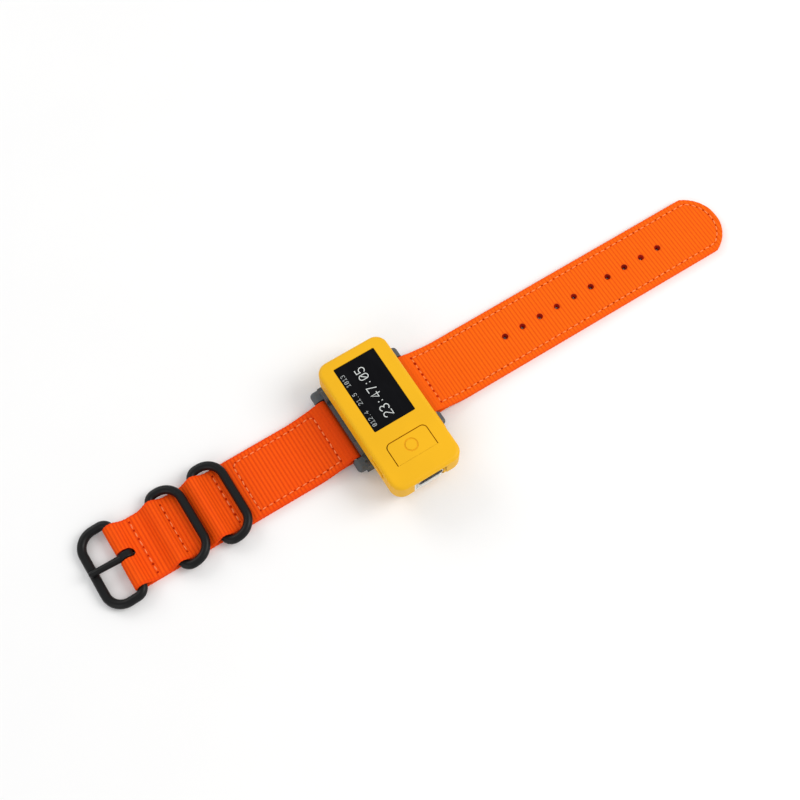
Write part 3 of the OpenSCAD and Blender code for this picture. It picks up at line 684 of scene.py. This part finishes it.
tipSewn = tipRound - holedStrap["tipSewnIn"]
tipAngle = math.asin(sewnIn / tipSewn)
tipTurn = np.linspace(-tipAngle, tipAngle, 24)
longSeam = np.concatenate([
    [(longRow, -sewnIn)],
    np.stack([longTip - tipRound + tipSewn * np.cos(tipTurn), tipSewn * np.sin(tipTurn)], -1),
    [(longRow, sewnIn)]])
longCross = [(longRow, -sewnIn), (longRow, sewnIn)]


# Distance to the sewn outline of the long strap.
def longSeamDistance(s, y):
    beside = np.abs(np.abs(y) - sewnIn)
    beyond = np.abs(np.hypot(np.clip(s - (longTip - tipRound), 0, None), y) - tipSewn)
    edge = np.where(s > longTip - tipRound + tipSewn * math.cos(tipAngle), beyond, beside)
    cross = np.where(np.abs(y) < sewnIn, np.abs(s - longRow), 9)
    return np.minimum(np.where(s > longRow - 0.5, edge, 9), cross)


holeS = holedStrap["firstHole"] + holedStrap["holePitch"] * np.arange(holedStrap["holeCount"])
holeRadius = holedStrap["holeRadius"]


def holeDistance(s, y):
    return np.min(np.hypot(s[..., None] - holeS, y[..., None]), -1) - holeRadius


# Ribs start at a low strength on the loop and grow to full behind it.
def ribStart(least, begin=3.2, reach=2.0):
    return lambda s, z: least + (1 - least) * ease((s - webbing["barS"] - begin) / reach)


# Painted shade along the seams, in the lines the stitching pulls in, and down the ramp from the spring bar, where
# the case shades the strap.
def seamAndBarShade(s, seamDistance, barShade, barReach, seamShade=0.3, seamReach=0.6):
    bySeam = seamShade * (1 - ease(seamDistance / seamReach))
    return bySeam + barShade * (1 - ease((s - webbing["barS"]) / barReach))


def longGrooves(s, y):
    return trough(longSeamDistance(s, y)) + holedStrap["rimSunk"] * (1 - ease(holeDistance(s, y) + 0.2))


# Painted shade round the holes, along the seams and near the spring bar.
def longShade(s, y):
    byHole = holedStrap["rimShade"] * (1 - ease(holeDistance(s, y) / 0.5))
    return byHole + seamAndBarShade(s, longSeamDistance(s, y), barShade=0.3, barReach=6)


longMaterial = ribbedWebbing("orangeWebbing", webbingColours["longRidge"], webbingColours["longGroove"],
                             webbingColours["longSelvage"], longPath["pitch"])
longStrap = makeBand("holed_strap", longPath, 1, longHalf, endDistance, longGrooves, ribStart(0.35),
                     longShade, dict(material=longMaterial, sway=holedStrap["sway"]))

# Holes pierced hot: full width at the top, closing in to a melted neck through the lower layer. The
# cutter's rings are given by their share of the hole's radius, and their height.
neck = np.array([(1.06, 4.0), (1.03, 2.0), (0.9, 1.72), (0.66, 1.4), (0.46, 1.05), (0.42, 0.5), (0.42, -1.0)])
angle = np.linspace(0, 2 * np.pi, holedStrap["holeSides"], endpoint=False)
ringAcross = holeRadius * neck[:, 0, None, None] * np.stack([np.cos(angle), np.sin(angle), 0 * angle], -1)
punch = ringAcross + neck[:, 1, None, None] * [0, 0, 1] + holeS[:, None, None, None] * [1, 0, 0]
punchQuads = repeatQuads(gridQuads(len(neck), len(angle), False, True), len(holeS), len(neck) * len(angle))
# The hole walls take the cutter's very dark red: painted shade inside the holes.
punches = makePiece("punches", punch.reshape(-1, 3) * mm, punchQuads, [wallShadeMaterial])
cutAway(longStrap, punches)

threadLong = twistedThread("orangeThread", webbingColours["threadLong"], webbingColours["threadPlyShade"])
longRows = [dict(line=longSeam, pitch=holedStrap["pitch"], sunk=0.1, pitLift=-0.1),
            dict(line=longCross, pitch=holedStrap["pitch"], sunk=0.16, pitLift=-0.04, pitScale=1.9)]
longThreads, longPits = makeStitches("holed_strap_stitching", longPath, 1, longRows, 5, threadLong)

# The buckle strap rises over both rings' bars and folds round the buckle's bar.
nearRing, buckleHinge = hinges["near_ring_swing"], hinges["buckle_swing"]
nearS, farS = -nearRing.x / mm, -hinges["far_ring_swing"].x / mm
foldS, foldOut = -buckleHinge.x / mm, buckleHinge.z / mm
humpReach = buckleStrap["humpReach"]
shortRow = webbing["barS"] + buckleStrap["crossRow"]
topS = np.arange(foldS, rampFoot, -0.1)
topZ = twoLayers + sum(hump(topS, at, 2 * nearRing.z / mm - twoLayers, humpReach) for at in (nearS, farS))
topZ = np.maximum(topZ, twoLayers + hump(topS, foldS, 2 * foldOut - twoLayers, humpReach))
foldArc = np.radians(np.arange(-87, 90, 3))
foldLine = np.stack([foldS + foldOut * np.cos(foldArc), foldOut + foldOut * np.sin(foldArc)], -1)
bottomS = np.arange(rampFoot, foldS, 0.1)
shortPath = walkPath(list(zip(topS, topZ)) + roundTheBar() + list(zip(bottomS, 0 * bottomS)) + list(foldLine),
                     True)

boxEnd = nearS - buckleStrap["boxEnd"]
crossRows = [(nearS - 6.2, 8.6), (farS - 2.9, 8.6), (foldS - 5.7, 9.2)]     # place and half length


def shortSeamDistance(s, y):
    inBox = (s > shortRow - 0.5) & (s < boxEnd + 0.5)
    near = np.where(inBox, np.abs(np.abs(y) - sewnIn), 9)
    for row in (shortRow, boxEnd):
        near = np.minimum(near, np.where(np.abs(y) < sewnIn, np.abs(s - row), 9))
    for row, reach in crossRows:
        near = np.minimum(near, np.where(np.abs(y) < reach, np.abs(s - row), 9))
    return near


def shortGrooves(s, y):
    return trough(shortSeamDistance(s, y))


# Painted shade along the seams and near the spring bar, where the case shades the strap.
def shortShade(s, y):
    return seamAndBarShade(s, shortSeamDistance(s, y), barShade=0.55, barReach=9)


# Room for the rings' bends at the edges of the upper layer.
def ringRoom(s, z, y):
    room = buckleStrap
    beside = sum(1 - ease(np.abs(s - at) / room["roomReach"]) for at in (nearS, farS))
    return room["roomDepth"] * beside * ease((np.abs(y) - room["roomFrom"]) / 1.2) * (z > room["roomAbove"])


shortMaterial = ribbedWebbing("redWebbing", webbingColours["shortRidge"], webbingColours["shortGroove"],
                              webbingColours["shortSelvage"], shortPath["pitch"])
shortHalf = np.full(len(shortPath["u"]), webbing["width"] / 2)
noEnd = np.full(len(shortPath["u"]), 9.0)     # the band is closed, so no point is near an end
shortBand = makeBand("buckle_strap", shortPath, -1, shortHalf, noEnd, shortGrooves, ribStart(0.3), shortShade,
                     dict(material=shortMaterial, sway=buckleStrap["sway"], thinned=ringRoom))

# The slot for the prong: a long hole with a round inner end, open round the whole fold.
slotHalf = buckleStrap["slotHalf"]
slotStart, slotEnd = foldS - buckleStrap["slotIn"], foldS + buckleStrap["slotOut"]
turnIn = np.linspace(np.pi / 2, 3 * np.pi / 2, 17)
roundEnd = np.stack([slotStart + slotHalf + slotHalf * np.cos(turnIn), slotHalf * np.sin(turnIn)], -1)
slotOutline = np.concatenate([[(slotEnd, -slotHalf), (slotEnd, slotHalf)], roundEnd])
slotRings = np.array([[(-s, y, z) for s, y in slotOutline] for z in (-2, 9)])
slotQuads = gridQuads(2, len(slotOutline), False, True)
# The slot's walls take the same painted shade.
slotCut = makePiece("slotCut", slotRings.reshape(-1, 3) * mm, slotQuads, [wallShadeMaterial])
cutAway(shortBand, slotCut)

threadShort = twistedThread("redThread", webbingColours["threadShort"], webbingColours["threadPlyShade"])
boxSeam = [(shortRow, -sewnIn), (boxEnd, -sewnIn), (boxEnd, sewnIn), (shortRow, sewnIn), (shortRow, -sewnIn)]
shortRows = [dict(line=boxSeam, pitch=buckleStrap["pitch"], sunk=0.1, pitLift=-0.1)]
shortRows += [dict(line=[(row, -reach), (row, reach)], pitch=buckleStrap["crossPitch"], sunk=0.13,
                   pitLift=-0.05, pitScale=1.5) for row, reach in crossRows]
shortThreads, shortPits = makeStitches("buckle_strap_stitching", shortPath, -1, shortRows, 9, threadShort)

for piece, body, slotName, node in ((longStrap, "strap_long", "webbing_orange", "strap_long"),
                                    (shortBand, "strap_short", "webbing_red", "strap_short")):
    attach(piece, body)
    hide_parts(node)
for piece, body, slotName in ((longThreads, "strap_long", "webbing_orange"),
                              (longPits, "strap_long", "webbing_orange"),
                              (shortThreads, "strap_short", "webbing_red"),
                              (shortPits, "strap_short", "webbing_red")):
    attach(piece, body)


print("stage: display")

lensLow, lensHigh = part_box("display_lens")
readout = dict(
    bigText="23:47:05", bigHeight=3.1, bigAdvance=2.38, bigStroke=0.27, bigX=-0.4,
    smallText="012.4  21.5  1013", smallHeight=1.35, smallAdvance=1.16, smallStroke=0.15, smallX=-5.9,
    middleY=1.1, raised=0.02, thick=0.03,
)


def arcPoints(cx, cy, rx, ry, start, end, count=14):
    a = np.radians(np.linspace(start, end, count))
    return np.stack([cx + rx * np.cos(a), cy + ry * np.sin(a)], -1)


# Pen strokes of the numerals in a cell 0.6 wide and 1 high, as lists of points.
cellWide = 0.6
strokes = {
    "0": [np.concatenate([arcPoints(0.3, 0.7, 0.27, 0.28, 0, 180), arcPoints(0.3, 0.3, 0.27, 0.28, 180, 360),
                          [(0.57, 0.7)]]),
          np.array([(0.12, 0.28), (0.48, 0.72)])],
    "1": [np.array([(0.08, 0.78), (0.32, 0.98), (0.32, 0.02)]), np.array([(0.08, 0.02), (0.56, 0.02)])],
    "2": [np.concatenate([arcPoints(0.3, 0.72, 0.26, 0.26, 165, -25), [(0.04, 0.03), (0.58, 0.03)]])],
    "3": [np.concatenate([arcPoints(0.27, 0.75, 0.26, 0.23, 150, -90),
                          arcPoints(0.27, 0.27, 0.29, 0.25, 78, -150)])],
    "4": [np.array([(0.43, 0.02), (0.43, 0.98), (0.03, 0.3), (0.6, 0.3)])],
    "5": [np.concatenate([[(0.52, 0.98), (0.1, 0.98), (0.08, 0.55)],
                          arcPoints(0.27, 0.32, 0.29, 0.3, 125, -150)])],
    "7": [np.array([(0.04, 0.98), (0.56, 0.98), (0.24, 0.02)])],
    ":": [np.array([(0.3, 0.62), (0.3, 0.7)]), np.array([(0.3, 0.22), (0.3, 0.3)])],
    ".": [np.array([(0.3, 0.0), (0.3, 0.07)])],
}


# A stroke as a flat ribbon of even width: both sides of the line, which meet at the corners along the
# mean of the two normals, with sharp corners held in.
def ribbon(points, halfWide, sharpest=0.35, farthest=1.6, overrun=0.6):
    step = np.diff(points, axis=0)
    step /= np.linalg.norm(step, axis=1)[:, None]
    left = np.stack([-step[:, 1], step[:, 0]], -1)
    mean = np.concatenate([left[:1], left[:-1] + left[1:], left[-1:]])
    mean /= np.maximum((mean * np.concatenate([left[:1], left[1:], left[-1:]])).sum(1), sharpest)[:, None]
    mean /= np.maximum(1, np.linalg.norm(mean, axis=1) / farthest)[:, None]
    ends = points.copy()
    ends[0] -= step[0] * halfWide * overrun
    ends[-1] += step[-1] * halfWide * overrun
    return ends + mean * halfWide, ends - mean * halfWide


# A line of numerals that reads along +Y with its tops toward -X, as thin raised ribbons on the window.
def numeralLine(text, height, advance, stroke, x, z):
    points, quads, used = [], [], 0
    startY = readout["middleY"] - advance * len(text) / 2
    for place, sign in enumerate(text):
        for line in strokes.get(sign, []):
            leftSide, rightSide = ribbon(line * height, stroke / 2)
            for plan in (leftSide, rightSide):
                plan[:, 0] += startY + place * advance + (advance - cellWide * height) / 2
            ring = np.stack([leftSide, rightSide, rightSide, leftSide], 1)
            heights = np.broadcast_to([z + readout["thick"]] * 2 + [z] * 2, ring.shape[:2])
            points.append(np.stack([x + height / 2 - ring[..., 1], ring[..., 0], heights], -1).reshape(-1, 3))
            count = len(line)
            body = gridQuads(count, 4, False, True)
            ends = np.array([[0, 1, 2, 3], [4 * count - 1, 4 * count - 2, 4 * count - 3, 4 * count - 4]])
            quads.append(np.vstack([body, ends]) + used)
            used += 4 * count
    return np.concatenate(points), np.concatenate(quads)


# Lit numerals: a soft grey-white with a slight mottle, glowing a little.
def litNumerals(name, dark, light, strength):
    finish = Finish(name, light, 0.6, Specular_IOR_Level=0.1)
    mottle = finish.noise(finish.coordinates(), noiseScale["litMottle"], 2)
    finish.link(finish.mix(mottle, dark, light), "Base Color")
    finish.set("Emission Color", (0.85, 0.9, 0.88, 1))
    finish.set("Emission Strength", strength)
    return finish.material


bigLit = litNumerals("litNumerals", (0.38, 0.4, 0.39), (0.6, 0.62, 0.6), 0.2)
smallLit = litNumerals("dimNumerals", (0.26, 0.28, 0.28), (0.42, 0.44, 0.44), 0.1)
lensTop = lensHigh.z / mm + readout["raised"]
for name, kind, material in (("time_digits", "big", bigLit), ("depth_digits", "small", smallLit)):
    points, quads = numeralLine(readout[kind + "Text"], readout[kind + "Height"], readout[kind + "Advance"],
                                readout[kind + "Stroke"], readout[kind + "X"], lensTop)
    digits = makePiece(name, points * mm, quads, [material], smooth=False)
    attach(digits, "unit")


print("stage: floor")

floorSize, floorTiles = 3.0, 9
floorZ = cadLow.z - 0.1 * mm
tile = np.linspace(-floorSize, floorSize, floorTiles)
gx, gy = np.meshgrid(tile, tile, indexing="ij")
floorPoints = np.stack([gx, gy, np.full(gx.shape, floorZ)], -1).reshape(-1, 3)
paper = Finish("palePaper", (0.9, 0.9, 0.9), 0.9)
mottle = paper.noise(paper.coordinates(), noiseScale["paper"], 2)
paper.link(paper.mix(mottle, (0.89, 0.89, 0.89), (0.91, 0.91, 0.91)), "Base Color")
floor = makePiece("floor", floorPoints, gridQuads(floorTiles, floorTiles)[:, ::-1], [paper.material])

print("stage: finish")
